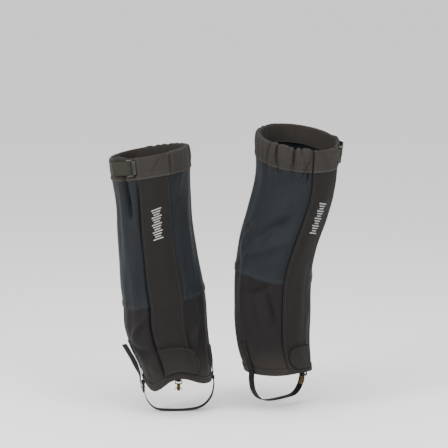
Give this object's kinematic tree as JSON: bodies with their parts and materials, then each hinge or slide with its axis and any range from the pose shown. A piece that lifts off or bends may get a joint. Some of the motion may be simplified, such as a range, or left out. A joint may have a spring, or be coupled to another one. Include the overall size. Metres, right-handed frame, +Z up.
{
  "type": "trekking gaiters",
  "caption": "Knee-high trekking gaiters with a front hook-and-loop flap, gathered top casing, strap and slider, lace hooks and boot stirrups.",
  "frame": {"origin": "on the right leg's axis at the height of the right gaiter's hem", "axes": "+Z up the legs; the wearer faces -Y; +X towards the wearer's left leg"},
  "size_m": [0.4369, 0.1888, 0.5401],
  "materials": {
    "slate_shell": "woven, matt",
    "tough_shell": "heavy woven, matt",
    "flap_cloth": "heavy woven, matt",
    "casing_cloth": "woven, matt",
    "olive_webbing": "heather webbing",
    "black_webbing": "flat webbing",
    "black_strip": "hook and loop pile",
    "elastic": "knitted elastic",
    "black_plastic": "satin moulded",
    "brass_metal": "antique brass",
    "pale_mark": "matt transfer"
  },
  "bodies": {
    "right_gaiter": {"right_upper_outer_panel": "slate_shell", "right_upper_inner_panel": "slate_shell", "right_lower_outer_panel": "tough_shell", "right_lower_inner_panel": "tough_shell", "right_hem_band_outer": "tough_shell", "right_hem_band_inner": "tough_shell", "right_back_seam_tape": "black_strip", "right_casing_outer": "casing_cloth", "right_casing_inner": "casing_cloth", "right_casing_elastic": "elastic", "right_top_webbing": "olive_webbing", "right_front_hook_strip": "black_strip", "right_hook_tape": "black_webbing", "right_hook_rivet": "brass_metal", "right_stirrup_anchor_outer": "black_webbing", "right_stirrup_anchor_inner": "black_webbing", "right_stirrup_buckle": "black_plastic", "right_tab_loop_patch": "black_strip"},
    "left_gaiter": {"left_upper_outer_panel": "slate_shell", "left_upper_inner_panel": "slate_shell", "left_lower_outer_panel": "tough_shell", "left_lower_inner_panel": "tough_shell", "left_hem_band_outer": "tough_shell", "left_hem_band_inner": "tough_shell", "left_back_seam_tape": "black_strip", "left_casing_outer": "casing_cloth", "left_casing_inner": "casing_cloth", "left_casing_elastic": "elastic", "left_top_webbing": "olive_webbing", "left_front_hook_strip": "black_strip", "left_hook_tape": "black_webbing", "left_hook_rivet": "brass_metal", "left_stirrup_anchor_outer": "black_webbing", "left_stirrup_anchor_inner": "black_webbing", "left_stirrup_buckle": "black_plastic"},
    "right_flap": {"right_front_flap": "flap_cloth", "right_flap_top_band": "casing_cloth", "right_flap_loop_strip": "black_strip", "right_reflective_mark": "pale_mark"},
    "right_tab": {"right_closure_tab": "flap_cloth", "right_tab_hook_patch": "black_strip"},
    "right_slider": {"right_top_slider": "black_plastic"},
    "right_stirrup": {"right_stirrup_strap": "black_webbing"},
    "right_tail": {"right_stirrup_tail": "black_webbing"},
    "right_hook": {"right_lace_hook": "brass_metal"},
    "left_flap": {"left_front_flap": "flap_cloth", "left_flap_top_band": "casing_cloth", "left_flap_loop_strip": "black_strip", "left_reflective_mark": "pale_mark"},
    "left_tab": {"left_closure_tab": "flap_cloth", "left_tab_hook_patch": "black_strip"},
    "left_slider": {"left_top_slider": "black_plastic"},
    "left_stirrup": {"left_stirrup_strap": "black_webbing"},
    "left_tail": {"left_stirrup_tail": "black_webbing"},
    "left_hook": {"left_lace_hook": "brass_metal"}
  },
  "joints": [
    {"name": "left_gaiter_lift", "type": "slide", "parent": "right_gaiter", "child": "left_gaiter", "axis": [0, 0, 1], "range_m": [0, 0.1]},
    {"name": "right_flap_open", "type": "hinge", "parent": "right_gaiter", "child": "right_flap", "pos_m": [-0.02992, -0.06578, 0.00411], "axis": [0.1344, 0.0341, -0.9903], "range_deg": [0, 90]},
    {"name": "right_tab_open", "type": "hinge", "parent": "right_flap", "child": "right_tab", "pos_m": [-0.01956, -0.06857, 0.01827], "axis": [0.279, -0.0025, -0.9603], "range_deg": [0, 100]},
    {"name": "right_slider_travel", "type": "slide", "parent": "right_gaiter", "child": "right_slider", "axis": [-0.8383, 0.5356, -0.1022], "range_m": [-0.001, 0.016]},
    {"name": "right_stirrup_swing", "type": "hinge", "parent": "right_gaiter", "child": "right_stirrup", "pos_m": [-0.06145, -0.00667, -0.0126], "axis": [0.9904, 0.1041, 0.0909], "range_deg": [-20, 20]},
    {"name": "right_tail_flex", "type": "hinge", "parent": "right_gaiter", "child": "right_tail", "pos_m": [-0.06682, -0.00723, -0.0141], "axis": [0.1045, -0.9945, 0], "range_deg": [0, 60]},
    {"name": "right_hook_swing", "type": "hinge", "parent": "right_gaiter", "child": "right_hook", "pos_m": [0.00467, -0.06278, 0.01135], "axis": [-0.9993, -0.036, 0], "range_deg": [-5, 50]},
    {"name": "left_flap_open", "type": "hinge", "parent": "left_gaiter", "child": "left_flap", "pos_m": [0.25385, -0.00238, 0.01627], "axis": [0.1085, -0.1258, 0.9861], "range_deg": [0, 90]},
    {"name": "left_tab_open", "type": "hinge", "parent": "left_flap", "child": "left_tab", "pos_m": [0.25392, -0.00332, 0.0237], "axis": [-0.1495, -0.0627, 0.9868], "range_deg": [0, 100]},
    {"name": "left_slider_travel", "type": "slide", "parent": "left_gaiter", "child": "left_slider", "axis": [0.1776, 0.9653, 0.1913], "range_m": [-0.001, 0.016]},
    {"name": "left_stirrup_swing", "type": "hinge", "parent": "left_gaiter", "child": "left_stirrup", "pos_m": [0.24015, 0.07185, 0.002], "axis": [-0.7517, -0.6535, 0.0888], "range_deg": [-20, 20]},
    {"name": "left_tail_flex", "type": "hinge", "parent": "left_gaiter", "child": "left_tail", "pos_m": [0.24422, 0.0754, 0.0005], "axis": [-0.6561, 0.7547, 0], "range_deg": [0, 60]},
    {"name": "left_hook_swing", "type": "hinge", "parent": "left_gaiter", "child": "left_hook", "pos_m": [0.2361, -0.01477, 0.01395], "axis": [-0.7079, -0.7063, 0], "range_deg": [-5, 50]}
  ]
}
